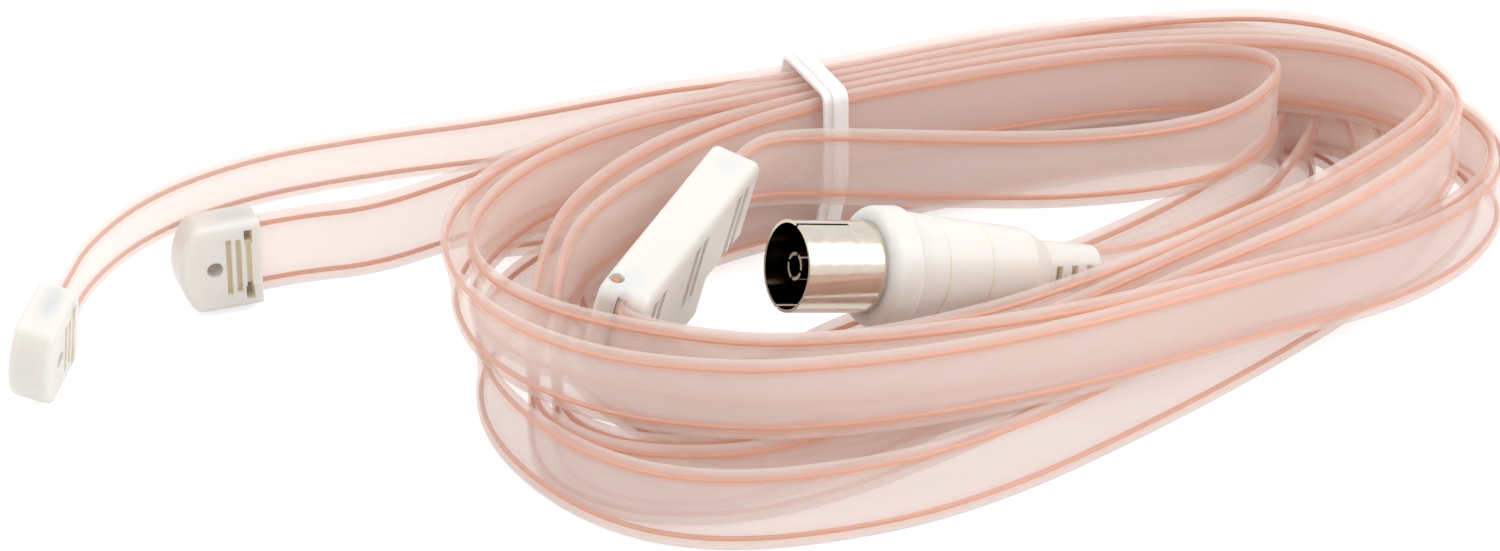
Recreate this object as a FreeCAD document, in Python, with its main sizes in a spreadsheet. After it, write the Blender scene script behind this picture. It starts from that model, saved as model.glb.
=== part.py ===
# FM wire antenna wound as a hank: flat twin-lead ribbon, joint block, two end caps, coaxial plug and a tie
import math
import os
import FreeCAD
import Part

V = FreeCAD.Vector
doc = FreeCAD.newDocument("fm_wire_antenna")
sheet = doc.addObject("Spreadsheet::Sheet", "Sizes")

# Sizes in millimetres
SIZES = [
    ("RibbonWidth", 10.0), ("RibbonThick", 1.1), ("TongueWidth", 8.6), ("TongueLong", 5.0),
    ("BlockLong", 35.0), ("BlockHigh", 10.4), ("BlockThick", 5.9), ("StemLong", 12.4), ("StemHigh", 5.0),
    ("BlockSlotWide", 1.5), ("BlockSlotDeep", 1.3), ("BlockRib", 0.8), ("BlockRound", 0.9),
    ("PinHoleRadius", 0.9), ("PinHoleDeep", 2.4), ("WireRadius", 0.45),
    ("CapLong", 9.6), ("CapWide", 11.0), ("CapThick", 4.8), ("CapEndRadius", 8.2), ("CapRound", 0.7),
    ("CapHold", 4.2), ("NailRadius", 0.95), ("NailAt", 5.5), ("CapSlotWide", 0.7), ("CapSlotDeep", 0.9),
    ("ConductorPitch", 7.3), ("WindowLong", 1.0), ("WindowHigh", 1.7),
    ("SleeveOuter", 5.1), ("SleeveInner", 4.7625), ("SleeveLong", 14.0), ("SlitWide", 0.4), ("SlitLong", 6.4),
    ("InsulatorFrom", 8.4), ("ContactOuter", 1.55), ("ContactInner", 1.2), ("ContactFrom", 1.0),
    ("ContactRear", 0.6), ("ContactSlit", 0.36), ("ContactSlitLong", 6.0), ("ContactBoreLong", 9.0),
    ("CollarFrom", 9.8), ("CollarLong", 3.9), ("CollarRadius", 6.75), ("BodyRadius", 6.25),
    ("BodyLong", 16.0), ("BodyRear", 4.5), ("ShoulderLong", 2.6), ("ReliefFront", 3.1),
    ("ReliefRear", 2.6), ("ReliefLong", 7.2), ("ReliefSlot", 0.9), ("ReliefSlotDeep", 1.5),
    ("ReliefSlotHigh", 2.9), ("SeamRadius", 0.16), ("PlugTongueWidth", 3.8), ("PlugTongueLong", 6.0),
    ("TieWide", 3.0), ("TieThick", 0.55), ("TieRidge", 0.9), ("TieRidgeThick", 0.25),
    ("TieBend", 1.1), ("TailLong", 6.0), ("OriginX", 23.661), ("OriginY", 1.046),
]
for row, (alias, value) in enumerate(SIZES, 1):
    sheet.set("A%d" % row, alias)
    sheet.set("B%d" % row, str(value))
    sheet.setAlias("B%d" % row, alias)
doc.recompute()


def size(alias):
    return float(sheet.get(alias))


W, T = size("RibbonWidth"), size("RibbonThick")
SHIFT = V(size("OriginX"), size("OriginY"), 0)
UPRIGHT = V(0, 0, 1)


# Primitives whose sizes are expressions on the sheet
def bind(obj, pairs):
    for prop, text in pairs:
        obj.setExpression(prop, str(text))
    return obj


def box(name, lx, ly, lz, x, y, z):
    obj = doc.addObject("Part::Box", name)
    return bind(obj, [("Length", lx), ("Width", ly), ("Height", lz), ("Placement.Base.x", x),
                      ("Placement.Base.y", y), ("Placement.Base.z", z)])


TURN = {"x": FreeCAD.Rotation(V(0, 1, 0), 90), "y": FreeCAD.Rotation(V(1, 0, 0), -90), "z": FreeCAD.Rotation()}


def cylinder(name, axis, radius, height, x, y, z):
    obj = doc.addObject("Part::Cylinder", name)
    obj.Placement = FreeCAD.Placement(V(), TURN[axis])
    return bind(obj, [("Radius", radius), ("Height", height), ("Placement.Base.x", x),
                      ("Placement.Base.y", y), ("Placement.Base.z", z)])


def cone(name, r1, r2, height, x):
    obj = doc.addObject("Part::Cone", name)
    obj.Placement = FreeCAD.Placement(V(), TURN["x"])
    return bind(obj, [("Radius1", r1), ("Radius2", r2), ("Height", height), ("Placement.Base.x", x)])


def ring(name, r1, r2, x):
    obj = doc.addObject("Part::Torus", name)
    obj.Placement = FreeCAD.Placement(V(), TURN["x"])
    return bind(obj, [("Radius1", r1), ("Radius2", r2), ("Placement.Base.x", x)])


def fuse(name, parts):
    obj = doc.addObject("Part::MultiFuse", name)
    obj.Shapes = parts
    obj.Refine = True
    return obj


def common(name, parts):
    obj = doc.addObject("Part::MultiCommon", name)
    obj.Shapes = parts
    return obj


def cut(name, base, tools):
    obj = doc.addObject("Part::Cut", name)
    obj.Base = base
    obj.Tool = tools[0] if len(tools) == 1 else fuse(name + "_tools", tools)
    return obj


def rounded(name, base, chooser):
    doc.recompute()
    edges = []
    for i, e in enumerate(base.Shape.Edges, 1):
        r = chooser(e)
        if r:
            edges.append((i, r, r))
    obj = doc.addObject("Part::Fillet", name)
    obj.Base = base
    obj.Edges = edges
    return obj


def frame(origin, x_axis, z_axis):
    x = V(x_axis).normalize()
    z = V(z_axis)
    z = (z - x * z.dot(x)).normalize()
    return FreeCAD.Placement(origin, FreeCAD.Rotation(x, z.cross(x), z, "XZY"))


PARTS = []


def keep(obj, label, placement):
    obj.Label = label
    obj.Placement = FreeCAD.Placement(placement.Base + SHIFT, placement.Rotation)
    PARTS.append(obj)
    return obj


# The ribbon's way, as straight runs joined by tangent arcs
def way(points):
    edges = []
    start = points[0]
    for a, b, c in zip(points, points[1:], points[2:]):
        u, v = (a - b), (c - b)
        run = 0.45 * min(u.Length, v.Length)
        u.normalize()
        v.normalize()
        p1, p2 = b + u * run, b + v * run
        half = u.getAngle(v) / 2
        if half > math.radians(89.5):
            continue
        mid = (u + v).normalize()
        centre = b + mid * (run / math.cos(half))
        edges.append(Part.makeLine(start, p1))
        edges.append(Part.Arc(p1, centre - mid * run * math.tan(half), p2).toShape())
        start = p2
    edges.append(Part.makeLine(start, points[-1]))
    return Part.Wire(edges)


def section(p, along, width_dir, wide, thick):
    n = along.cross(width_dir).normalize()
    w, n = width_dir * (wide / 2), n * (thick / 2)
    return Part.makePolygon([p - w - n, p + w - n, p + w + n, p - w + n, p - w - n])


# An upright stretch is swept, its width kept vertical
def swept(points):
    wire = way(points)
    first = points[1] - points[0]
    profile = section(points[0], V(first.x, first.y, 0), UPRIGHT, W, T)
    shell = Part.BRepOffsetAPI.MakePipeShell(wire)
    shell.setBiNormalMode(UPRIGHT)
    shell.add(profile, False, False)
    shell.build()
    shell.makeSolid()
    return shell.shape()


# A stretch that twists or leans is lofted through sections turned from point to point
def turned(rows, count, after=None):
    points = [r[0] for r in rows]
    wire = way(points)
    marks = [0.0]
    for a, b in zip(points, points[1:]):
        marks.append(marks[-1] + (b - a).Length)
    stations = wire.discretize(count)
    wires = []
    for k, p in enumerate(stations):
        s = marks[-1] * k / (count - 1)
        i = max(j for j in range(len(marks) - 1) if marks[j] <= s + 1e-6)
        f = (s - marks[i]) / (marks[i + 1] - marks[i])
        if k == 0:
            t = points[1] - points[0]
        elif k == count - 1:
            t = points[-1] - points[-2]
        else:
            t = stations[k + 1] - stations[k - 1]
        t.normalize()
        w = rows[i][1] * (1 - f) + rows[i + 1][1] * f
        w = (w - t * w.dot(t)).normalize()
        wires.append(section(p, t, w, W, T))
    if after:
        corners = [min(after.Vertexes, key=lambda v: v.Point.distanceToPoint(q.Point)).Point
                   for q in wires[0].OrderedVertexes[:4]]
        wires[0] = Part.makePolygon(corners + corners[:1])
    return Part.makeLoft(wires, True, False)


# The trimmed end that a moulding holds
def tongue(p, along, width_dir, wide, long):
    t = V(along).normalize()
    w = (width_dir - t * width_dir.dot(t)).normalize()
    return Part.Face(section(p, t, w, wide, T)).extrude(t * long)


def between(a, b):
    return (a + b) * 0.5


# Stretches that share an end section become one solid, with the smallest slack that closes it
def joined(name, pieces):
    total = sum(piece.Volume for piece in pieces)
    for slack in (0.0, 0.0002, 0.001, 0.004):
        shape = pieces[0]
        for piece in pieces[1:]:
            shape = shape.fuse(piece, slack) if slack else shape.fuse(piece)
        if len(shape.Solids) == 1 and shape.isValid() and abs(shape.Volume - total) < 0.03 * total:
            break
    else:
        raise RuntimeError("%s does not close to one solid" % name)
    obj = doc.addObject("Part::Feature", name)
    obj.Shape = shape.Solids[0]
    return keep(obj, name, FreeCAD.Placement())


# A turn of the hank is four quarters between anchors at its right, back, left and front
def quarter(a, b, flat):
    rows = []
    for k in range(3):
        angle = math.radians(30 * k)
        c, s = math.cos(angle) ** 0.82, math.sin(angle) ** 0.82
        if flat:
            x, y = a[0] + (b[0] - a[0]) * s, b[1] + (a[1] - b[1]) * c
        else:
            x, y = b[0] + (a[0] - b[0]) * c, a[1] + (b[1] - a[1]) * s
        mix = math.sin(angle) ** 2
        rows.append(V(x, y, a[2] * (1 - mix) + b[2] * mix))
    return rows


def coil(anchors):
    rows = []
    for i, (a, b) in enumerate(zip(anchors, anchors[1:])):
        rows += quarter(a, b, i % 2 == 1)
    return rows + [V(*anchors[-1])]


def vectors(rows):
    return [V(*r) for r in rows]


# Where the joint block lies: its length, its height with a slight roll, and its middle
ALONG = V(1, 1, 0).normalize()
ROLL = math.radians(15)
HIGH = V(0, 0, 1) * math.cos(ROLL) + V(1, -1, 0).normalize() * math.sin(ROLL)
BLOCK_AT = V(-38.9, -3.3, 16.1)
BACK_END = BLOCK_AT + ALONG * (size("BlockLong") / 2)
FRONT_END = BLOCK_AT - ALONG * (size("BlockLong") / 2)
STEM_END = BLOCK_AT - HIGH * (size("BlockHigh") / 2 + size("StemHigh"))

# Where the plug lies: from the middle of its mouth to the tip of its strain relief
MOUTH = V(-31.0, -16.5, 20.0)
PLUG_DIR = V(0.967, 0.033, -0.249).normalize()
PLUG_LONG = sum(size(k) for k in ("CollarFrom", "CollarLong", "BodyLong", "ShoulderLong", "ReliefLong"))
TIP = MOUTH + PLUG_DIR * PLUG_LONG
PLUG_FLAT = V(0, 0, 1).cross(PLUG_DIR).normalize()

# Levels of the two layers at the tie, at the ends and over the front
LOW, LOW_TIE, TOP, TOP_TIE, BACK = 5.0, 6.1, 15.3, 16.3, -6.0

# Arm to the near cap: from the block's back end, three turns, then out to the left
CAP_B_AT = V(-75.3, 33.3, 6.0)
CAP_B_DIR = V(-0.998, 0.06, 0).normalize()
b_leave = BACK_END + ALONG * 0.3
b_start = [b_leave, b_leave + ALONG * 2.6] + vectors([(-18.3, 11.0, 15.8), (-9.5, 7.4, 15.5), (0, 2.6, 15.4),
                                                      (11, -2.3, 15.4)])
b_coil = vectors([(24, -4.8, 15.4), (35, -3.4, 15.4)]) + coil([
    (44.2, 5.5, TOP), (BACK, 15.9, TOP_TIE), (-61.8, -6, 15.5), (-24, -33.5, 17),
    (53.2, 3.2, 16), (BACK, 18.9, TOP_TIE), (-65.5, -6.5, 15.4), (-25, -36.9, 17.2),
    (60, 0, 15.4), (BACK, 21.9, TOP_TIE)])
b_end = vectors([(-18, 22.9, TOP_TIE), (-29, 24.9, 14.4), (-41, 27.3, 11.4), (-53, 29.2, 8.4), (-62, 30.2, 6.7)])
b_end += [CAP_B_AT - CAP_B_DIR * 6.0, CAP_B_AT]
b_turn = between(b_start[-2], b_start[-1])
b_lean = [HIGH, HIGH, HIGH + UPRIGHT, HIGH * 0.2 + UPRIGHT * 0.8, UPRIGHT, UPRIGHT]
arm_b = [
    tongue(b_leave, -ALONG, HIGH, size("TongueWidth"), size("TongueLong") + 0.3),
    turned(list(zip(b_start[:-1] + [b_turn], b_lean)), 13),
    swept([b_turn, b_start[-1]] + b_coil + b_end),
]

# Arm to the far cap: from the block's front end, round the front, then out to the far left, leaning
a_from = FRONT_END - ALONG * 0.3
a_start = [a_from, a_from - ALONG * 2.4] + vectors([(-52.9, -21.0, 15.8), (-48.0, -25.2, 15.5),
                                                    (-38, -28.6, 15.3), (-24, -31.0, 15.3)])
a_coil = vectors([(-8, -31, 15.3), (10, -28.5, 15.3), (28, -22.5, 15.3), (41, -11, 15.3)]) + coil([
    (48.4, 4.5, TOP), (BACK, 17.4, TOP_TIE), (-63.6, -6.3, 15.4), (-24, -35.2, 16.2),
    (56.8, 1.7, 15.8), (BACK, 20.4, TOP_TIE), (-67.5, -7, 15.3), (-26, -38.6, 15.7),
    (63, -2, 15.3), (BACK, 23.4, TOP_TIE)])
a_end = vectors([(-18, 24.7, TOP_TIE), (-28, 27.0, 16.3), (-38, 28.9, 15.9), (-48, 30.8, 15.6),
                 (-61, 33.6, 15.2), (-75, 36.6, 13.9), (-87, 36.4, 11.9), (-95.2, 32.5, 9.8)])
CAP_A_AT = V(-101.5, 25.0, 7.7)
CAP_A_DIR = V(-0.62, -0.75, -0.23).normalize()
LEAN = V(-0.12, -0.43, 0.895).normalize()
a_turn = between(a_start[-2], a_start[-1])
a_leave = between(a_coil[-1], a_end[0])
a_entry = CAP_A_AT - CAP_A_DIR * 3.0
arm_a_coil = swept([a_turn, a_start[-1]] + a_coil + [a_leave])
arm_a = [
    tongue(a_from, ALONG, HIGH, size("TongueWidth"), size("TongueLong") + 0.3),
    turned(list(zip(a_start[:-1] + [a_turn], [HIGH, HIGH, HIGH + UPRIGHT, UPRIGHT, UPRIGHT, UPRIGHT])), 17),
    arm_a_coil,
    turned(list(zip([a_leave] + a_end + [a_entry, CAP_A_AT],
                    [UPRIGHT, UPRIGHT, UPRIGHT * 2 + LEAN, UPRIGHT + LEAN * 2] + [LEAN] * 7)), 22, arm_a_coil),
]

# Feeder: from the block's stem, flat on the ground, up on edge, round twice, folded at the far left and back
f_from = STEM_END - HIGH * 0.3
ACROSS = V(1, -1, 0).normalize()
f_floor = V(f_from.x, f_from.y, 0.78)
f_start = [f_from, f_from - HIGH * 3.4, f_floor + ACROSS * 3.2, f_floor + ACROSS * 9.5] + vectors([
    (-25, -13.6, 3.9), (-14, -13.2, 5.1), (-2, -10.2, LOW), (10, -7.4, LOW)])
f_coil = vectors([(20, -5.6, LOW), (31, -3.2, LOW), (41, 1.4, LOW)]) + coil([
    (48.2, 9.4, LOW), (BACK, 18.9, LOW_TIE), (-50, 1.7, LOW), (-30, -24, LOW),
    (54.2, 7.6, LOW), (BACK, 21.9, LOW_TIE), (-64, -7, LOW), (-27, -41.4, LOW),
    (60.4, 5.4, LOW), (BACK, 24.9, LOW_TIE)])
fold = vectors([(-18, 26.0, 6.0), (-28, 28.6, 5.4), (-40, 32, LOW), (-52, 34.6, LOW), (-60, 35.3, LOW),
                (-63.6, 33.5, LOW), (-60, 31.7, LOW), (-52, 31.4, LOW), (-40, 29.7, LOW), (-28, 26.8, 5.4),
                (-18, 24.4, 6.0)])
k_coil = coil([(51.2, 8.5, LOW), (BACK, 20.4, LOW_TIE), (-52.6, 4, LOW), (-30, -26.5, LOW),
               (57.3, 6.6, LOW), (BACK, 23.4, LOW_TIE)])
k_from = TIP + PLUG_DIR * 0.3
k_start = [k_from, k_from + PLUG_DIR * 4.0] + vectors([(18.5, -14.6, 7.4), (25.5, -12.4, 6.4), (33, -8.4, 5.15),
                                                       (41, -3.0, 5.15)])
f_turn = between(f_start[-2], f_start[-1])
k_turn = between(k_start[-2], k_start[-1])
flat_to_edge = [ALONG, ALONG, ALONG, ALONG, V(0.5, 0.6, 0.5), V(0.15, 0.45, 0.85), UPRIGHT, UPRIGHT]
plug_to_edge = [UPRIGHT, UPRIGHT, V(-0.2, 0.5, 0.75), V(-0.1, 0.85, 0.4), PLUG_FLAT, PLUG_FLAT]
feeder_coil = swept([f_turn, f_start[-1]] + f_coil + fold + k_coil[::-1] + [k_start[-1], k_turn])
feeder = [
    tongue(f_from, HIGH, ALONG, size("TongueWidth"), size("TongueLong") + 0.3),
    turned(list(zip(f_start[:-1] + [f_turn], flat_to_edge)), 31),
    feeder_coil,
    turned(list(zip([k_turn] + k_start[:-1][::-1], plug_to_edge)), 13, feeder_coil),
    tongue(k_from, -PLUG_DIR, PLUG_FLAT, size("PlugTongueWidth"), size("PlugTongueLong") + 0.3),
]
hold_b = tongue(CAP_B_AT, CAP_B_DIR, UPRIGHT, W, size("CapHold"))
hold_a = tongue(CAP_A_AT, CAP_A_DIR, LEAN, W, size("CapHold"))
joined("feeder_ribbon", feeder)
joined("arm_a_ribbon", arm_a + [hold_a])
joined("arm_b_ribbon", arm_b + [hold_b])
print("ribbon half thickness as cord radius %.3f, half width %.3f" % (T / 2, W / 2))


# End cap: a D-ended plate moulded over the ribbon's end, with a nail hole, three slots and two windows
def end_cap(tag, label, origin, x_axis, z_axis):
    s = "Sizes."
    body = common(tag + "_blank", [
        box(tag + "_plate", s + "CapLong", s + "CapThick", s + "CapWide", 0, "-Sizes.CapThick/2", "-Sizes.CapWide/2"),
        cylinder(tag + "_dee", "y", s + "CapEndRadius", s + "CapThick", "Sizes.CapLong-Sizes.CapEndRadius",
                 "-Sizes.CapThick/2", 0)])

    def edge_radius(e):
        c = e.CenterOfMass
        if c.x < 0.2:
            return 0
        if abs(c.y) < 0.2:
            return 1.6
        return size("CapRound")
    soft = rounded(tag + "_soft", body, edge_radius)
    tools = [box(tag + "_hold", s + "CapHold", s + "RibbonThick", s + "RibbonWidth", 0,
                 "-Sizes.RibbonThick/2", "-Sizes.RibbonWidth/2"),
             cylinder(tag + "_nail", "y", s + "NailRadius", "Sizes.CapThick*2", s + "NailAt", "-Sizes.CapThick", 0)]
    for k, (at, high) in enumerate(((1.45, 7.3), (2.65, 6.9), (3.8, 7.2))):
        tools.append(box("%s_slot%d" % (tag, k), s + "CapSlotWide", s + "CapSlotDeep", high,
                         "%s-Sizes.CapSlotWide/2" % at, "Sizes.CapThick/2-Sizes.CapSlotDeep", -high / 2))
    for k, side in enumerate((-1, 1)):
        tools.append(box("%s_window%d" % (tag, k), s + "WindowLong", "Sizes.CapThick/2-Sizes.RibbonThick/2",
                         s + "WindowHigh", "1.45-Sizes.WindowLong/2", "Sizes.RibbonThick/2",
                         "%d*Sizes.ConductorPitch/2-Sizes.WindowHigh/2" % side))
    return keep(cut(tag, soft, tools), label, frame(origin, x_axis, z_axis))


end_cap("cap_a", "end_cap_a", CAP_A_AT, CAP_A_DIR, LEAN)
end_cap("cap_b", "end_cap_b", CAP_B_AT, CAP_B_DIR, UPRIGHT)


# Joint block: a bar with a stem, slotted flanks and a hole that shows a wire's end
def joint_block():
    s = "Sizes."
    bar = box("block_bar", s + "BlockLong", s + "BlockThick", s + "BlockHigh", "-Sizes.BlockLong/2",
              "-Sizes.BlockThick/2", "-Sizes.BlockHigh/2")
    stem = box("block_stem", s + "StemLong", s + "BlockThick", "Sizes.StemHigh+Sizes.BlockHigh/2",
               "-Sizes.StemLong/2", "-Sizes.BlockThick/2", "-Sizes.BlockHigh/2-Sizes.StemHigh")
    tee = fuse("block_tee", [bar, stem])
    top, end = size("BlockHigh") / 2, size("BlockLong") / 2

    def edge_radius(e):
        c, b = e.CenterOfMass, e.BoundBox
        if abs(c.z - top) < 0.01 and b.XLength > 5:
            return size("BlockRound")
        if abs(abs(c.x) - end) < 0.01 and abs(c.z - top) < 0.01:
            return 1.9
        if abs(abs(c.x) - end) < 0.01 and b.ZLength > 3:
            return 0.7
        return 0
    soft = rounded("block_soft", tee, edge_radius)
    tools = [box("block_hold_back", s + "TongueLong", s + "RibbonThick", s + "TongueWidth",
                 "Sizes.BlockLong/2-Sizes.TongueLong", "-Sizes.RibbonThick/2", "-Sizes.TongueWidth/2"),
             box("block_hold_front", s + "TongueLong", s + "RibbonThick", s + "TongueWidth",
                 "-Sizes.BlockLong/2", "-Sizes.RibbonThick/2", "-Sizes.TongueWidth/2"),
             box("block_hold_stem", s + "TongueWidth", s + "RibbonThick", s + "TongueLong",
                 "-Sizes.TongueWidth/2", "-Sizes.RibbonThick/2", "-Sizes.BlockHigh/2-Sizes.StemHigh"),
             cylinder("block_pin_hole", "z", s + "PinHoleRadius", s + "PinHoleDeep", -15.2, 1.75,
                      "Sizes.BlockHigh/2-Sizes.PinHoleDeep")]
    for k, middle in enumerate((-12.6, 0, 12.6)):
        for j, sign in enumerate((-1, 1)):
            at = "%s+%d*(Sizes.BlockSlotWide/2+Sizes.BlockRib/2)-Sizes.BlockSlotWide/2" % (middle, sign)
            for i, y in enumerate(("-Sizes.BlockThick/2", "Sizes.BlockThick/2-Sizes.BlockSlotDeep")):
                tools.append(box("block_slot%d%d%d" % (k, j, i), s + "BlockSlotWide", s + "BlockSlotDeep",
                                 "Sizes.BlockHigh-1.9", at, y, "-Sizes.BlockHigh/2"))
    return keep(cut("block", soft, tools), "joint_block", frame(BLOCK_AT, ALONG, HIGH))


joint_block()
wire_end = cylinder("wire_end", "z", "Sizes.WireRadius", "Sizes.PinHoleDeep-0.3", 0, 0, 0)
BLOCK_FRAME = frame(BLOCK_AT, ALONG, HIGH)
pin_at = BLOCK_FRAME.multVec(V(-15.2, 1.75, size("BlockHigh") / 2 - size("PinHoleDeep")))
for axis in "xyz":
    wire_end.setExpression("Placement.Base." + axis, None)
keep(wire_end, "wire_end", FreeCAD.Placement(pin_at, BLOCK_FRAME.Rotation))


# Plug: slit sleeve, insulator, slit centre contact, and a moulded body with a slotted strain relief
def plug():
    s = "Sizes."
    place = frame(MOUTH, PLUG_DIR, V(0, 0, 1))
    tube = cut("sleeve_tube", cylinder("sleeve_outer", "x", s + "SleeveOuter", s + "SleeveLong", 0, 0, 0),
               [cylinder("sleeve_inner", "x", s + "SleeveInner", "Sizes.SleeveLong+2", -1, 0, 0)])
    sleeve = cut("sleeve", tube, [box("sleeve_slits", "Sizes.SlitLong+1", s + "SlitWide", "Sizes.SleeveOuter*3", -1,
                                      "-Sizes.SlitWide/2", "-Sizes.SleeveOuter*1.5")])
    keep(sleeve, "plug_sleeve", place)
    disc = cylinder("disc", "x", s + "SleeveInner", "Sizes.SleeveLong-Sizes.InsulatorFrom", s + "InsulatorFrom", 0, 0)
    insulator = cut("insulator", disc, [cylinder("disc_bore", "x", s + "ContactOuter", s + "SleeveLong", 0, 0, 0)])
    keep(insulator, "plug_insulator", place)
    rod = cylinder("contact_rod", "x", s + "ContactOuter", "Sizes.SleeveLong-Sizes.ContactFrom-Sizes.ContactRear",
                   s + "ContactFrom", 0, 0)
    slit = [box("contact_slit%d" % k, s + "ContactSlitLong", ly, lz, s + "ContactFrom", y, z) for k, (ly, lz, y, z) in
            enumerate(((s + "ContactSlit", "Sizes.ContactOuter*4", "-Sizes.ContactSlit/2", "-Sizes.ContactOuter*2"),
                       ("Sizes.ContactOuter*4", s + "ContactSlit", "-Sizes.ContactOuter*2", "-Sizes.ContactSlit/2")))]
    contact = cut("contact", rod, [cylinder("contact_bore", "x", s + "ContactInner", s + "ContactBoreLong",
                                            s + "ContactFrom", 0, 0)] + slit)
    keep(contact, "plug_contact", place)
    collar_end = size("CollarFrom") + size("CollarLong")
    body_end = collar_end + size("BodyLong")
    relief_from = body_end + size("ShoulderLong")
    stack = fuse("plug_stack", [
        cylinder("plug_collar", "x", s + "CollarRadius", s + "CollarLong", s + "CollarFrom", 0, 0),
        cone("plug_barrel", s + "BodyRadius", s + "BodyRear", s + "BodyLong", collar_end),
        cone("plug_shoulder", s + "BodyRear", s + "ReliefFront", s + "ShoulderLong", body_end),
        cone("plug_relief", s + "ReliefFront", s + "ReliefRear", s + "ReliefLong", relief_from)])

    def edge_radius(e):
        c, r = e.CenterOfMass, e.BoundBox.YLength / 2
        if abs(c.x - size("CollarFrom")) < 0.01 and r > 6:
            return 1.2
        if abs(c.x - collar_end) < 0.01 and r > size("BodyRadius") + 0.1:
            return 0.4
        if abs(c.x - body_end) < 0.01:
            return 1.2
        if abs(c.x - (relief_from + size("ReliefLong"))) < 0.01:
            return 0.5
        return 0
    soft = rounded("plug_soft", stack, edge_radius)
    tools = [cylinder("plug_bore", "x", s + "SleeveOuter", "Sizes.SleeveLong-Sizes.CollarFrom", s + "CollarFrom", 0, 0),
             box("plug_hold", s + "PlugTongueLong", s + "PlugTongueWidth", s + "RibbonThick",
                 "%s-Sizes.PlugTongueLong" % (relief_from + size("ReliefLong")), "-Sizes.PlugTongueWidth/2",
                 "-Sizes.RibbonThick/2")]
    for k, at in enumerate((17.4, 23.4)):
        slope = (size("BodyRadius") - size("BodyRear")) / size("BodyLong")
        tools.append(ring("plug_seam%d" % k, size("BodyRadius") - slope * (at - collar_end), s + "SeamRadius", at))
    for k in range(3):
        for j, y in enumerate(("-Sizes.ReliefFront-1", "Sizes.ReliefFront+1-Sizes.ReliefSlotDeep-0.6")):
            tools.append(box("plug_relief_slot%d%d" % (k, j), s + "ReliefSlot", "Sizes.ReliefSlotDeep+0.6",
                             s + "ReliefSlotHigh", "%s" % (relief_from + 0.7 + 2.1 * k), y, "-Sizes.ReliefSlotHigh/2"))
    keep(cut("plug", soft, tools), "plug_body", place)


plug()


# Tie: a flat band with a wire ridge, drawn round the bundle, its two ends twisted together behind
TIE_AT, TIE_BACK = -11.0, 27.05


def tie():
    wide, thick = size("TieWide"), size("TieThick")
    hull = [(17.1, 0.6), (27.0, 0.6), (27.0, 11.2), (25.5, 22.0), (14.1, 22.0), (13.9, 10.8)]
    points = [V(TIE_AT, y, z) for y, z in hull]
    count = len(points)
    edges = []
    stops = []
    for k in range(count):
        a, b, c = points[k - 1], points[k], points[(k + 1) % count]
        u, v = (a - b).normalize(), (c - b).normalize()
        half = u.getAngle(v) / 2
        run = size("TieBend") / math.tan(half)
        mid = (u + v).normalize()
        centre = b + mid * (size("TieBend") / math.sin(half))
        stops.append((b + u * run, centre - mid * size("TieBend"), b + v * run))
    for k in range(count):
        edges.append(Part.Arc(*stops[k]).toShape())
        edges.append(Part.makeLine(stops[k][2], stops[(k + 1) % count][0]))
    ring_wire = Part.Wire(edges)
    outer, inner = ring_wire.makeOffset2D(thick / 2), ring_wire.makeOffset2D(-thick / 2)
    band = Part.Face(outer).cut(Part.Face(inner)).extrude(V(wide, 0, 0))
    band.translate(V(-wide / 2, 0, 0))
    high = ring_wire.makeOffset2D(thick / 2 + size("TieRidgeThick"))
    ridge = Part.Face(high).cut(Part.Face(ring_wire)).extrude(V(size("TieRidge"), 0, 0))
    ridge.translate(V(-size("TieRidge") / 2, 0, 0))
    return band.fuse(ridge)


band = tie()
sections = []
for k in range(10):
    turn = math.radians(-60 + 42 * k)
    base = V(TIE_AT, TIE_BACK + size("TailLong") * k / 9, 6.4)
    sections.append(section(base, V(0, 1, 0), V(math.cos(turn), 0, math.sin(turn)), size("TieWide") * 0.8, 1.1))
tail = Part.makeLoft(sections, True, True)
joined("cable_tie", [band, tail])

doc.recompute()
os.makedirs("parts", exist_ok=True)
for obj in doc.Objects:
    if "Invalid" in obj.State or "Error" in obj.State:
        raise RuntimeError("%s did not build: %s" % (obj.Label, obj.State))
low, high = V(1e9, 1e9, 1e9), V(-1e9, -1e9, -1e9)
for obj in PARTS:
    shape = obj.Shape
    if shape.isNull() or not shape.isValid() or len(shape.Solids) != 1:
        raise RuntimeError("%s has a bad shape with %d solids" % (obj.Label, len(shape.Solids)))
    b = shape.BoundBox
    low = V(min(low.x, b.XMin), min(low.y, b.YMin), min(low.z, b.ZMin))
    high = V(max(high.x, b.XMax), max(high.y, b.YMax), max(high.z, b.ZMax))
    print("%-16s volume %8.1f  z %6.2f to %6.2f" % (obj.Label, shape.Volume, b.ZMin, b.ZMax))
    shape.exportStep("parts/%s.step" % obj.Label)
print("bounds", low, high)
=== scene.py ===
# FM wire antenna wound as a hank: clear twin-lead ribbon with copper wires, white mouldings, plug and tie
import math

import bpy
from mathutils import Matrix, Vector


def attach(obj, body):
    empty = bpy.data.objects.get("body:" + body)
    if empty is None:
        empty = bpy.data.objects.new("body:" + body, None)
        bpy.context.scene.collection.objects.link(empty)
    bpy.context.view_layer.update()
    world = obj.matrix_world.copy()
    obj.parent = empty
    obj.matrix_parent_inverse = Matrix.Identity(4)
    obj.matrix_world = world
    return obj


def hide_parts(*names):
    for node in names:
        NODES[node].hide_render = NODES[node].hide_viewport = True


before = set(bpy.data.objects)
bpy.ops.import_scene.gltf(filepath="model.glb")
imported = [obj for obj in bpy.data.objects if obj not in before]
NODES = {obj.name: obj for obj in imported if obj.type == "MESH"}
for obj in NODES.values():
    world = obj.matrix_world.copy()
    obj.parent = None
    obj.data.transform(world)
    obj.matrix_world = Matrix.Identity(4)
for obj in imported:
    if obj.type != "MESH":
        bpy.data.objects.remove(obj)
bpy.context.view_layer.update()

# Sizes in millimetres, in the frame that the hank is laid out in
MM = 0.001
ORIGIN = Vector((23.661, 1.046, 0.0))
RIBBON_WIDTH = 10.0
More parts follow.
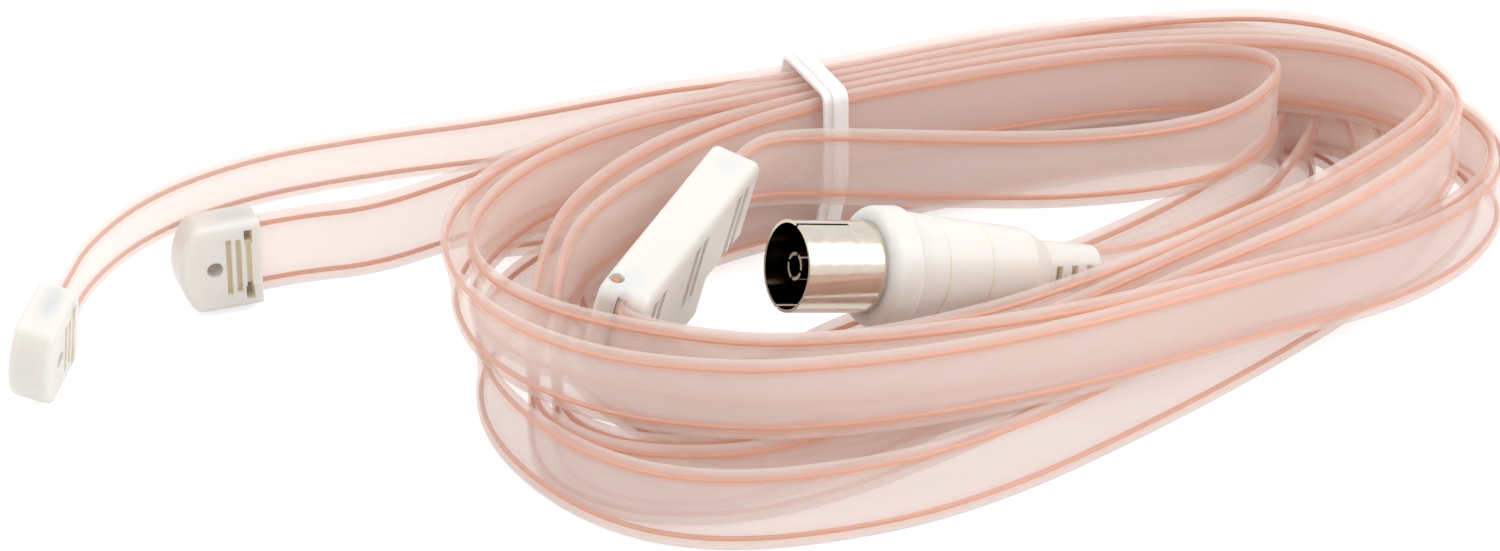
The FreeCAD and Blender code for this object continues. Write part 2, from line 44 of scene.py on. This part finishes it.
WIRE_PITCH = 7.3
WIRE_RADIUS = 0.29
UPRIGHT = Vector((0, 0, 1))
# Half of the ribbon's section, from its middle to its edge: distance across and half thickness
SECTION = ((0.0, 0.31), (1.2, 0.31), (2.2, 0.33), (2.75, 0.42), (3.2, 0.53), (3.65, 0.57), (4.1, 0.54),
           (4.55, 0.47), (4.85, 0.34), (5.0, 0.12))


def vectors(rows):
    return [Vector(r) for r in rows]


def placed(p):
    return (p + ORIGIN) * MM


# Power that gives a quarter turn its roundness
ROUNDNESS = 0.82


# Coil turns, worked out between anchors at the right, back, left and front
def quarter(a, b, flat):
    rows = []
    for k in range(3):
        angle = math.radians(30 * k)
        c, s = math.cos(angle) ** ROUNDNESS, math.sin(angle) ** ROUNDNESS
        if flat:
            x, y = a[0] + (b[0] - a[0]) * s, b[1] + (a[1] - b[1]) * c
        else:
            x, y = b[0] + (a[0] - b[0]) * c, a[1] + (b[1] - a[1]) * s
        mix = math.sin(angle) ** 2
        rows.append(Vector((x, y, a[2] * (1 - mix) + b[2] * mix)))
    return rows


def coil(anchors):
    rows = []
    for i, (a, b) in enumerate(zip(anchors, anchors[1:])):
        rows += quarter(a, b, i % 2 == 1)
    return rows + [Vector(anchors[-1])]


# Where the block and the plug lie, as in the solids
ALONG = Vector((1, 1, 0)).normalized()
ROLL = math.radians(15)
HIGH = UPRIGHT * math.cos(ROLL) + Vector((1, -1, 0)).normalized() * math.sin(ROLL)
BLOCK_AT = Vector((-38.9, -3.3, 16.1))
BLOCK_LONG, BLOCK_HIGH, STEM_HIGH = 35.0, 10.4, 5.0
BACK_END = BLOCK_AT + ALONG * (BLOCK_LONG / 2)
FRONT_END = BLOCK_AT - ALONG * (BLOCK_LONG / 2)
STEM_END = BLOCK_AT - HIGH * (BLOCK_HIGH / 2 + STEM_HIGH)
MOUTH = Vector((-31.0, -16.5, 20.0))
PLUG_DIR = Vector((0.967, 0.033, -0.249)).normalized()
PLUG_LONG = 39.5
TIP = MOUTH + PLUG_DIR * PLUG_LONG
PLUG_FLAT = UPRIGHT.cross(PLUG_DIR).normalized()
CAP_B_AT = Vector((-75.3, 33.3, 6.0))
CAP_B_DIR = Vector((-0.998, 0.06, 0)).normalized()
CAP_A_AT = Vector((-101.5, 25.0, 7.7))
CAP_A_DIR = Vector((-0.62, -0.75, -0.23)).normalized()
LEAN = Vector((-0.12, -0.43, 0.895)).normalized()
HELD = 3.4
LOW, LOW_TIE, TOP, TOP_TIE, BACK = 5.0, 6.1, 15.3, 16.3, -6.0


# Routes as rows of a point and the direction of the ribbon's width there
def upright(points):
    return [(p, UPRIGHT) for p in points]


def route_arm_b():
    start = [BACK_END - ALONG * HELD, BACK_END + ALONG * 2.9] + vectors([
        (-18.3, 11.0, 15.8), (-9.5, 7.4, 15.5), (0, 2.6, 15.4), (11, -2.3, 15.4)])
    lean = [HIGH, HIGH, HIGH + UPRIGHT, HIGH * 0.2 + UPRIGHT * 0.8, UPRIGHT, UPRIGHT]
    first = vectors([(24, -4.4, 15.0), (35, -1.6, 14.2)]) + coil([(44.2, 6.5, 13.8), (BACK, 15.9, TOP_TIE)])
    under = vectors([(-16, 15.5, 16.1), (-26, 14.5, 15.7), (-37.6, 9.6, 15.4), (-46.5, 3.8, TOP),
                     (-51.4, -1.6, 14.2), (-54.6, -7.6, 8.8), (-57.3, -13.5, 5.2), (-57.8, -20.2, LOW),
                     (-53.8, -26.6, LOW), (-45, -31.0, LOW), (-33, -31.5, 6.2), (-20, -32.0, 9.4),
                     (-6, -32.0, 12.6), (10.5, -29.9, 14.9)])
    second = vectors([(31.2, -24.4, TOP), (42.8, -19.5, TOP), (51.2, -14.9, TOP), (56.1, -9.4, TOP),
                      (56.1, -1.4, TOP), (51.6, 5.8, TOP), (41.7, 12.8, 15.4), (24.2, 17.7, 15.7),
                      (10, 18.6, 16.1), (BACK, 18.9, TOP_TIE), (-18, 19.6, 16.1), (-33, 21.2, 15.6),
                      (-45.2, 18.7, TOP), (-53.9, 12.9, TOP), (-59.5, 5.9, TOP), (-61.6, -2.8, 15.4),
                      (-59.0, -12.0, 15.7), (-52.6, -20.8, 16.0), (-41.9, -29.6, 16.0),
                      (-32.2, -33.1, 16.0), (-21.7, -35.8, 16.0)])
    third = vectors([(-8, -37.5, 15.8), (8, -36.8, 15.2), (22, -33.0, 13.2), (37, -27.6, 9.4),
                     (47, -21.8, 6.8)])
    sag = vectors([(57, -15.2, 5.8), (63.0, -9.0, 6.0), (65.0, -2, 6.0), (63.6, 5.5, 6.3)])
    spread = vectors([(0.08, -0.12, 1), (0.16, -0.12, 1), (0.12, 0, 1), (0.06, 0, 1)])
    fourth = vectors([(57.3, 12.8, 8.0), (44.5, 18.8, 12.0), (27, 21.9, 14.8), (10, 22.4, 16.0),
                      (BACK, 21.9, TOP_TIE)])
    end = vectors([(-18, 22.9, TOP_TIE), (-29, 24.9, 14.4), (-41, 27.3, 11.4), (-53, 29.2, 8.4),
                   (-62, 30.2, 6.7)])
    end += [CAP_B_AT - CAP_B_DIR * 6.0, CAP_B_AT, CAP_B_AT + CAP_B_DIR * HELD]
    return (list(zip(start, lean)) + upright(first + under + second + third) + list(zip(sag, spread))
            + upright(fourth + end))


def route_arm_a():
    start = [FRONT_END + ALONG * HELD, FRONT_END - ALONG * 1.4] + vectors([
        (-51.2, -19.3, 15.6), (-46.5, -22.8, 14.6), (-38, -26.4, 13.2), (-26, -29.0, 12.7)])
    lean = [HIGH, HIGH, HIGH + UPRIGHT, UPRIGHT, UPRIGHT, UPRIGHT]
    first = vectors([(-12, -30.2, 13.4), (0, -29.9, 14.6), (12, -28.0, 15.2), (30.5, -23.0, TOP),
                     (42, -18.2, TOP), (50.0, -13.9, TOP), (54.6, -9, TOP), (54.6, -2, TOP),
                     (50.4, 4.8, TOP), (41, 11.2, 15.4), (24, 16.2, 15.7), (10, 17.2, 16.1),
                     (BACK, 17.4, TOP_TIE)])
    under = vectors([(-16, 17.4, 16.1), (-27, 17.4, 15.7), (-37.4, 13.9, 15.4), (-47.5, 6.8, TOP),
                     (-53.4, -0.2, 13.0), (-57.0, -6.2, 8.0), (-59.7, -12.5, LOW), (-59.9, -20.0, LOW),
                     (-55.5, -28.0, LOW), (-46.0, -33.0, LOW), (-35.5, -34.0, LOW), (-21, -33.9, 6.8),
                     (-6, -33.8, 10.8), (6, -33.4, 13.6), (16, -32.6, 15.2)])
    second = vectors([(29, -29.4, TOP), (41, -24.4, TOP), (50, -19.4, TOP), (56.6, -12.5, TOP),
                      (58.5, -5.0, TOP), (56.9, 3.4, TOP), (51.8, 11.8, TOP), (43.5, 17.4, 15.4),
                      (28, 20.6, 15.8), (10, 20.4, 16.2), (BACK, 20.4, TOP_TIE), (-18, 21.2, 16.1),
                      (-32, 23.0, 15.6)])
    edge = vectors([(-46.6, 20.6, TOP), (-56.2, 14.2, TOP), (-61.4, 7.2, TOP), (-63.5, 0, TOP),
                    (-63.6, -7.6, 15.2), (-60.9, -16.6, 15.1), (-54.5, -25.6, 15.1),
                    (-43.5, -33.3, 15.2)])
    edge_lean = vectors([(-0.04, 0.04, 1), (-0.10, 0.06, 1), (-0.13, 0.03, 1), (-0.15, 0, 1),
                         (-0.15, -0.02, 1), (-0.12, -0.06, 1), (-0.08, -0.06, 1), (-0.02, -0.04, 1)])
    third = vectors([(-33.6, -36.5, 15.2), (-22, -38.8, TOP), (-8, -39.7, 15.4), (6, -38.7, 15.2),
                     (18, -35.8, 13.9), (34, -31.0, 10.8), (46, -24.4, 7.4), (56.5, -17.6, 5.2),
                     (64.3, -10.8, 5.0), (67.2, -2.5, 5.0), (65.5, 6, 5.4), (59, 14, 7.5),
                     (46, 20.6, 11.5), (28, 23.7, 14.6), (10, 24.0, 16.0), (BACK, 23.4, TOP_TIE)])
    end = vectors([(-18, 24.7, TOP_TIE), (-28, 27.0, 16.3), (-38, 28.9, 15.9), (-48, 30.8, 15.6),
                   (-61, 33.6, 15.2), (-75, 36.6, 13.9), (-87, 36.4, 11.9), (-95.2, 32.5, 9.8)])
    end += [CAP_A_AT - CAP_A_DIR * 3.0, CAP_A_AT, CAP_A_AT + CAP_A_DIR * HELD]
    end_lean = [UPRIGHT, UPRIGHT * 2 + LEAN, UPRIGHT + LEAN * 2] + [LEAN] * 8
    return (list(zip(start, lean)) + upright(first + under + second) + list(zip(edge, edge_lean))
            + upright(third) + list(zip(end, end_lean)))


# The feeder's two halves lie side by side from the plug and the block to the fold at the far left
ACROSS = Vector((1, -1, 0)).normalized()
FOLD_TIP = Vector((-49.5, 32.0, LOW))


def route_feeder_out():
    leave = STEM_END - HIGH * 0.3
    floor = Vector((leave.x, leave.y, 0.78))
    start = [STEM_END + HIGH * HELD, leave - HIGH * 3.4, floor + ACROSS * 3.2, floor + ACROSS * 9.5]
    start += vectors([(-25, -13.6, 3.9), (-14, -13.2, 5.1), (-2, -11.0, LOW), (10, -8.2, LOW)])
    lean = [ALONG] * 4 + vectors([(0.5, 0.6, 0.5), (0.15, 0.45, 0.85), UPRIGHT, UPRIGHT])
    first = vectors([(21, -4.9, LOW), (32, -0.4, LOW), (42, 5.6, LOW)]) + coil([
        (48.6, 12.6, LOW), (BACK, 18.9, LOW_TIE), (-48.2, 1.7, LOW), (-30, -25, LOW),
        (54.4, 8.6, LOW), (BACK, 21.9, LOW_TIE), (-63.5, -7, LOW), (-30, -41.9, LOW)])
    second = vectors([(-14, -40.3, LOW), (3, -35.4, LOW), (20, -29.6, LOW), (39, -21.6, LOW),
                      (51, -14.6, LOW), (59.4, -6.2, LOW), (61.4, 3.0, LOW), (57.6, 11.4, LOW),
                      (45, 18.6, 5.2), (24, 23.4, 5.6), (BACK, 24.9, LOW_TIE)])
    fold = vectors([(-18, 26.0, 6.0), (-28, 28.8, 5.4), (-38, 32.0, LOW), (-46, 33.8, LOW)])
    return list(zip(start, lean)) + upright(first + second + fold + [FOLD_TIP])


def route_feeder_back():
    leave = TIP + PLUG_DIR * 0.3
    start = [leave, leave + PLUG_DIR * 4.0] + vectors([
        (18.5, -14.6, 7.4), (25.5, -12.0, 6.4), (34, -6.6, 5.15), (43, 0.4, 5.1)])
    lean = [PLUG_FLAT, PLUG_FLAT] + vectors([(-0.1, 0.85, 0.4), (-0.2, 0.5, 0.75), UPRIGHT, UPRIGHT])
    turns = coil([(51.8, 10.6, LOW), (BACK, 20.4, LOW_TIE), (-50.2, 4, LOW), (-30, -26.6, LOW),
                  (58.0, 8.6, LOW), (BACK, 23.4, LOW_TIE)])
    fold = vectors([(-18, 24.4, 6.0), (-28, 26.8, 5.4), (-38, 29.2, LOW), (-46, 30.4, LOW)])
    return list(zip(start, lean)) + upright(turns + fold + [FOLD_TIP])


# The smooth line through a route, read from a spline with no bevel
def read_spline(points):
    data = bpy.data.curves.new("route", "CURVE")
    data.dimensions = "3D"
    spline = data.splines.new("NURBS")
    spline.points.add(len(points) - 1)
    for knot, p in zip(spline.points, points):
        knot.co = (*placed(p), 1.0)
    spline.order_u = 3
    spline.use_endpoint_u = True
    spline.resolution_u = 12
    holder = bpy.data.objects.new("route", data)
    bpy.context.scene.collection.objects.link(holder)
    bpy.context.view_layer.update()
    mesh = bpy.data.meshes.new_from_object(holder)
    line = [v.co.copy() for v in mesh.vertices]
    bpy.data.objects.remove(holder)
    bpy.data.meshes.remove(mesh)
    bpy.data.curves.remove(data)
    return line


# Centre, width direction and face direction at each place along a route
def stations(rows):
    centre = read_spline([p for p, _ in rows])
    edge = read_spline([p + w.normalized() * (RIBBON_WIDTH / 2) for p, w in rows])
    found = []
    for i, p in enumerate(centre):
        along = (centre[min(i + 1, len(centre) - 1)] - centre[max(i - 1, 0)]).normalized()
        wide = edge[i] - p
        wide = (wide - along * wide.dot(along)).normalized()
        found.append((p, wide, along.cross(wide)))
    return found


def new_piece(name, points, faces, material):
    mesh = bpy.data.meshes.new(name)
    mesh.from_pydata(points, [], faces)
    mesh.update()
    for polygon in mesh.polygons:
        polygon.use_smooth = True
    mesh.materials.append(material)
    piece = bpy.data.objects.new(name, mesh)
    bpy.context.scene.collection.objects.link(piece)
    return piece


def lengths_along(line):
    marks = [0.0]
    for a, b in zip(line, line[1:]):
        marks.append(marks[-1] + (b - a).length)
    return marks


# A closed skin over rings of equal count, with its place across and along kept as a UV map
def skinned(name, rings, across, marks, material):
    count = len(rings[0])
    points = [p for ring in rings for p in ring]
    faces = []
    for i in range(len(rings) - 1):
        for k in range(count):
            a, b = i * count + k, i * count + (k + 1) % count
            faces.append((a, b, b + count, a + count))
    last = (len(rings) - 1) * count
    faces.append(tuple(reversed(range(count))))
    faces.append(tuple(range(last, last + count)))
    piece = new_piece(name, points, faces, material)
    layer = piece.data.uv_layers.new(name="along")
    for loop in piece.data.loops:
        i, k = divmod(loop.vertex_index, count)
        layer.data[loop.index].uv = (across[k], marks[i])
    return piece


def ribbon_skin(name, places, material):
    outline = [(x, t) for x, t in SECTION] + [(x, -t) for x, t in reversed(SECTION)]
    outline += [(-x, -t) for x, t in SECTION[1:]] + [(-x, t) for x, t in reversed(SECTION[1:])]
    rings = [[p + w * (x * MM) + n * (t * MM) for x, t in outline] for p, w, n in places]
    across = [0.5 + x / RIBBON_WIDTH for x, _ in outline]
    return skinned(name, rings, across, lengths_along([p for p, _, _ in places]), material)


def wire_skin(name, places, side, material):
    sides = 8
    turns = [math.radians(360 * k / sides) for k in range(sides)]
    rings = []
    for p, w, n in places:
        middle = p + w * (side * WIRE_PITCH / 2 * MM)
        rings.append([middle + (w * math.cos(a) + n * math.sin(a)) * (WIRE_RADIUS * MM) for a in turns])
    across = [k / sides for k in range(sides)]
    return skinned(name, rings, across, lengths_along([p for p, _, _ in places]), material)


# Materials
def material(name):
    made = bpy.data.materials.new(name)
    made.use_nodes = True
    tree = made.node_tree
    tree.nodes.clear()
    return made, tree.nodes, tree.links


def math_node(nodes, links, kind, first, second=None):
    node = nodes.new("ShaderNodeMath")
    node.operation = kind
    for socket, value in zip(node.inputs, (first, second)):
        if value is None:
            continue
        if isinstance(value, (int, float)):
            socket.default_value = value
        else:
            links.new(value, socket)
    return node.outputs[0]


def mapped(nodes, links, value, from_low, from_high, to_low, to_high):
    node = nodes.new("ShaderNodeMapRange")
    node.interpolation_type = "SMOOTHSTEP"
    ends = {"From Min": from_low, "From Max": from_high, "To Min": to_low, "To Max": to_high}
    for name, number in ends.items():
        node.inputs[name].default_value = number
    links.new(value, node.inputs["Value"])
    return node.outputs["Result"]


def mixed_colour(nodes, links, share, first, second):
    node = nodes.new("ShaderNodeMix")
    node.data_type = "RGBA"
    links.new(share, node.inputs[0])
    for socket, colour in ((node.inputs[6], first), (node.inputs[7], second)):
        if isinstance(colour, tuple):
            socket.default_value = (*colour, 1.0)
        else:
            links.new(colour, socket)
    return node.outputs[2]


def noise(nodes, links, scale, detail, coordinates=None):
    node = nodes.new("ShaderNodeTexNoise")
    node.inputs["Scale"].default_value = scale
    node.inputs["Detail"].default_value = detail
    if coordinates is None:
        coordinates = nodes.new("ShaderNodeTexCoord").outputs["Object"]
    links.new(coordinates, node.inputs["Vector"])
    return node.outputs["Fac"]


def bump(nodes, links, height, strength, distance):
    node = nodes.new("ShaderNodeBump")
    node.inputs["Strength"].default_value = strength
    node.inputs["Distance"].default_value = distance
    links.new(height, node.inputs["Height"])
    return node.outputs["Normal"]


# Milky soft plastic with a salmon line along each edge, where the copper's glow seen through the plastic is
# painted into the web's colour near each wire
def ribbon_material():
    made, nodes, links = material("clear_ribbon")
    place = nodes.new("ShaderNodeUVMap")
    place.uv_map = "along"
    split = nodes.new("ShaderNodeSeparateXYZ")
    links.new(place.outputs["UV"], split.inputs[0])
    aside = math_node(nodes, links, "ABSOLUTE", math_node(nodes, links, "SUBTRACT", split.outputs["X"], 0.5))
    aside = math_node(nodes, links, "MULTIPLY", aside, RIBBON_WIDTH)
    past_wire = math_node(nodes, links, "SUBTRACT", aside, WIRE_PITCH / 2)
    from_wire = math_node(nodes, links, "ABSOLUTE", past_wire)
    # Painted copper glow: nearness to each wire, used to paint the web salmon there
    glow = mapped(nodes, links, from_wire, 0.1, 0.75, 1.0, 0.0)
    clouds = noise(nodes, links, 90.0, 3.0)
    web = mixed_colour(nodes, links, clouds, (0.925, 0.87, 0.86), (0.95, 0.91, 0.90))
    # The web is painted salmon near each wire, a painted glow of the copper
    colour = mixed_colour(nodes, links, glow, web, (0.95, 0.69, 0.56))
    solid = mapped(nodes, links, from_wire, 0.15, 0.9, 0.38, 0.42)
    clear = nodes.new("ShaderNodeBsdfTransparent")
    clear.inputs["Color"].default_value = (0.985, 0.965, 0.957, 1.0)
    surface = nodes.new("ShaderNodeBsdfPrincipled")
    surface.inputs["Roughness"].default_value = 0.32
    surface.inputs["Coat Weight"].default_value = 0.25
    surface.inputs["Coat Roughness"].default_value = 0.18
    links.new(colour, surface.inputs["Base Color"])
    stretch = nodes.new("ShaderNodeMapping")
    stretch.inputs["Scale"].default_value = (60.0, 25.0, 1.0)
    links.new(place.outputs["UV"], stretch.inputs["Vector"])
    lines = noise(nodes, links, 1.0, 2.0, stretch.outputs["Vector"])
    links.new(bump(nodes, links, lines, 0.12, 0.0002), surface.inputs["Normal"])
    through = nodes.new("ShaderNodeBsdfTranslucent")
    # Light through the plastic is tinted salmon, most strongly near the wires, where the tint is painted
    # copper glow
    through_tint_and_painted_glow = mixed_colour(nodes, links, glow, (0.95, 0.81, 0.74), (0.95, 0.56, 0.40))
    links.new(through_tint_and_painted_glow, through.inputs["Color"])
    body = nodes.new("ShaderNodeMixShader")
    body.inputs["Fac"].default_value = 0.45
    links.new(surface.outputs[0], body.inputs[1])
    links.new(through.outputs[0], body.inputs[2])
    shown = nodes.new("ShaderNodeMixShader")
    links.new(solid, shown.inputs["Fac"])
    links.new(clear.outputs[0], shown.inputs[1])
    links.new(body.outputs[0], shown.inputs[2])
    output = nodes.new("ShaderNodeOutputMaterial")
    links.new(shown.outputs[0], output.inputs["Surface"])
    return made


def plain_surface(nodes, links):
    surface = nodes.new("ShaderNodeBsdfPrincipled")
    output = nodes.new("ShaderNodeOutputMaterial")
    links.new(surface.outputs[0], output.inputs["Surface"])
    return surface


def copper_material():
    made, nodes, links = material("copper_strands")
    surface = plain_surface(nodes, links)
    surface.inputs["Metallic"].default_value = 0.85
    surface.inputs["Roughness"].default_value = 0.38
    place = nodes.new("ShaderNodeUVMap")
    place.uv_map = "along"
    stretch = nodes.new("ShaderNodeMapping")
    stretch.inputs["Scale"].default_value = (7.0, 900.0, 1.0)
    links.new(place.outputs["UV"], stretch.inputs["Vector"])
    strands = nodes.new("ShaderNodeTexWave")
    strands.bands_direction = "DIAGONAL"
    strands.inputs["Scale"].default_value = 1.0
    links.new(stretch.outputs["Vector"], strands.inputs["Vector"])
    colour = mixed_colour(nodes, links, strands.outputs["Fac"], (0.72, 0.33, 0.21), (0.92, 0.52, 0.38))
    links.new(colour, surface.inputs["Base Color"])
    links.new(bump(nodes, links, strands.outputs["Fac"], 0.5, 0.0001), surface.inputs["Normal"])
    return made


# White plastic, creamier in its slots and recesses, where the cream is painted shade
def white_material(name, dark, light, roughness):
    made, nodes, links = material(name)
    surface = plain_surface(nodes, links)
    surface.inputs["Roughness"].default_value = roughness
    surface.inputs["Subsurface Weight"].default_value = 0.5
    surface.inputs["Subsurface Radius"].default_value = (0.0042, 0.0032, 0.0021)
    surface.inputs["Subsurface Scale"].default_value = 1.0
    even = mixed_colour(nodes, links, noise(nodes, links, 140.0, 4.0), dark, light)
    # Painted shade: recesses found by ambient occlusion are coloured cream
    recess_shade_ao = nodes.new("ShaderNodeAmbientOcclusion")
    recess_shade_ao.only_local = True
    recess_shade_ao.inputs["Distance"].default_value = 0.0012
    painted_recess_shade = mapped(nodes, links, recess_shade_ao.outputs["AO"], 0.35, 0.8, 1.0, 0.0)
    links.new(mixed_colour(nodes, links, painted_recess_shade, even, (0.93, 0.83, 0.64)), surface.inputs["Base Color"])
    links.new(bump(nodes, links, noise(nodes, links, 2600.0, 2.0), 0.08, 0.0001), surface.inputs["Normal"])
    return made


# Nickel plate, duller and darker on the faces that look at the plug's own axis, a painted shade inside the
# sleeve
def nickel_material():
    made, nodes, links = material("nickel_plate")
    surface = plain_surface(nodes, links)
    surface.inputs["Metallic"].default_value = 1.0
    place = nodes.new("ShaderNodeNewGeometry")
    middle = placed(MOUTH)
    shift = nodes.new("ShaderNodeVectorMath")
    shift.operation = "SUBTRACT"
    links.new(nodes.new("ShaderNodeTexCoord").outputs["Object"], shift.inputs[0])
    shift.inputs[1].default_value = middle
    along = nodes.new("ShaderNodeVectorMath")
    along.operation = "PROJECT"
    links.new(shift.outputs[0], along.inputs[0])
    along.inputs[1].default_value = PLUG_DIR
    radial = nodes.new("ShaderNodeVectorMath")
    radial.operation = "SUBTRACT"
    links.new(shift.outputs[0], radial.inputs[0])
    links.new(along.outputs[0], radial.inputs[1])
    facing = nodes.new("ShaderNodeVectorMath")
    facing.operation = "DOT_PRODUCT"
    links.new(radial.outputs[0], facing.inputs[0])
    links.new(place.outputs["True Normal"], facing.inputs[1])
    # Painted shade: faces inside the sleeve are coloured dark
    painted_sleeve_shade = mapped(nodes, links, facing.outputs["Value"], -0.0012, -0.0002, 1.0, 0.0)
    scratches = noise(nodes, links, 900.0, 4.0)
    outer = mixed_colour(nodes, links, scratches, (0.66, 0.59, 0.50), (0.77, 0.71, 0.62))
    links.new(mixed_colour(nodes, links, painted_sleeve_shade, outer, (0.10, 0.08, 0.05)), surface.inputs["Base Color"])
    links.new(mapped(nodes, links, scratches, 0.3, 0.7, 0.14, 0.24), surface.inputs["Roughness"])
    return made


def dark_material():
    made, nodes, links = material("dark_insulator")
    surface = plain_surface(nodes, links)
    surface.inputs["Roughness"].default_value = 0.5
    clouds = noise(nodes, links, 500.0, 3.0)
    colour = mixed_colour(nodes, links, clouds, (0.035, 0.028, 0.02), (0.06, 0.05, 0.035))
    links.new(colour, surface.inputs["Base Color"])
    return made


RIBBON = ribbon_material()
COPPER = copper_material()
WHITE = white_material("white_plastic", (0.72, 0.70, 0.655), (0.76, 0.745, 0.71), 0.36)
TIE_WHITE = white_material("tie_plastic", (0.90, 0.885, 0.87), (0.94, 0.93, 0.92), 0.42)
NICKEL = nickel_material()
DARK = dark_material()
NODE_MATERIALS = {
    "joint_block": WHITE, "end_cap_a": WHITE, "end_cap_b": WHITE, "plug_body": WHITE, "cable_tie": TIE_WHITE,
    "plug_sleeve": NICKEL, "plug_contact": NICKEL, "plug_insulator": DARK, "wire_end": COPPER,
}
for node, finish in NODE_MATERIALS.items():
    NODES[node].data.materials.clear()
    NODES[node].data.materials.append(finish)


# Ribbons with their wires
def ribbon(name, rows):
    places = stations(rows)
    skin = ribbon_skin(name, places, RIBBON)
    wires = [wire_skin("%s_wire_%s" % (name, tag), places, side, COPPER)
             for tag, side in (("upper", 1), ("lower", -1))]
    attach(skin, "root")
    for wire in wires:
        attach(wire, "root")
    line = [p for p, _, _ in places]
    return skin, wires, line, lengths_along(line)[-1]


def declared(name, rows, replaced):
    skin, wires, line, long = ribbon(name, rows)
    if replaced:
        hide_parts(replaced)
    return skin


declared("arm_a", route_arm_a(), "arm_a_ribbon")
declared("arm_b", route_arm_b(), "arm_b_ribbon")
declared("feeder_out", route_feeder_out(), "feeder_ribbon")
declared("feeder_back", route_feeder_back(), None)

# Floor, light and background
FLOOR_HALF = 3.0
FLOOR_LEVEL = -0.0002
floor_mesh = bpy.data.meshes.new("floor")
corners = [(x * FLOOR_HALF, y * FLOOR_HALF, FLOOR_LEVEL) for x, y in ((-1, -1), (1, -1), (1, 1), (-1, 1))]
floor_mesh.from_pydata(corners, [], [(0, 1, 2, 3)])
floor = bpy.data.objects.new("floor", floor_mesh)
bpy.context.scene.collection.objects.link(floor)


# True for rays that see the background: straight from the camera, off metal or through glass
def seen(nodes, links):
    path = nodes.new("ShaderNodeLightPath")
    either = math_node(nodes, links, "MAXIMUM", path.outputs["Is Camera Ray"], path.outputs["Is Glossy Ray"])
    return math_node(nodes, links, "MAXIMUM", either, path.outputs["Is Transmission Ray"])


# Pale floor that the camera sees a little brighter, with its shadow kept
def floor_material():
    made, nodes, links = material("white_floor")
    lit = nodes.new("ShaderNodeBsdfDiffuse")
    lit.inputs["Color"].default_value = (0.85, 0.85, 0.85, 1.0)
    shade = nodes.new("ShaderNodeBsdfDiffuse")
    shade.inputs["Color"].default_value = (0.5, 0.5, 0.5, 1.0)
    glow = nodes.new("ShaderNodeEmission")
    glow.inputs["Strength"].default_value = 0.68
    both = nodes.new("ShaderNodeAddShader")
    links.new(shade.outputs[0], both.inputs[0])
    links.new(glow.outputs[0], both.inputs[1])
    shown = nodes.new("ShaderNodeMixShader")
    links.new(seen(nodes, links), shown.inputs["Fac"])
    links.new(lit.outputs[0], shown.inputs[1])
    links.new(both.outputs[0], shown.inputs[2])
    output = nodes.new("ShaderNodeOutputMaterial")
    links.new(shown.outputs[0], output.inputs["Surface"])
    return made


floor_mesh.materials.append(floor_material())
world = bpy.data.worlds.new("studio")
bpy.context.scene.world = world
world.use_nodes = True
sky = world.node_tree.nodes["Background"]
sky.inputs["Color"].default_value = (1.0, 1.0, 1.0, 1.0)
sky_nodes, sky_links = world.node_tree.nodes, world.node_tree.links
brightness = mapped(sky_nodes, sky_links, seen(sky_nodes, sky_links), 0.0, 1.0, 0.84, 1.0)
sky_links.new(brightness, sky.inputs["Strength"])


def area_light(name, place, target, side, power):
    lamp = bpy.data.lights.new(name, "AREA")
    lamp.shape = "SQUARE"
    lamp.size = side
    lamp.energy = power
    obj = bpy.data.objects.new(name, lamp)
    obj.location = place
    obj.rotation_mode = "QUATERNION"
    obj.rotation_quaternion = (Vector(target) - Vector(place)).to_track_quat("-Z", "Y")
    bpy.context.scene.collection.objects.link(obj)


area_light("key", (-0.35, 0.25, 0.75), (0, 0, 0), 0.55, 2.0)
area_light("fill", (0.45, -0.35, 0.5), (0, 0, 0), 0.5, 2.6)

# Camera at the photograph's angle
CAMERA_BACK = Vector((-0.35225, -0.79115, 0.5))
CAMERA_TARGET = Vector((-21.4, 14.9, 0))
CAMERA_FAR = 600.0
CAMERA_LENS = 123.84
camera_data = bpy.data.cameras.new("camera")
camera_data.sensor_width = 36.0
camera_data.sensor_fit = "HORIZONTAL"
camera_data.lens = CAMERA_LENS
camera_data.clip_start = 0.01
camera = bpy.data.objects.new("camera", camera_data)
camera.location = placed(CAMERA_TARGET + CAMERA_BACK * CAMERA_FAR)
camera.rotation_mode = "QUATERNION"
camera.rotation_quaternion = (-CAMERA_BACK).to_track_quat("-Z", "Y")
bpy.context.scene.collection.objects.link(camera)
bpy.context.scene.camera = camera
bpy.context.scene.view_settings.view_transform = "Standard"
bpy.context.scene.cycles.transparent_max_bounces = 48
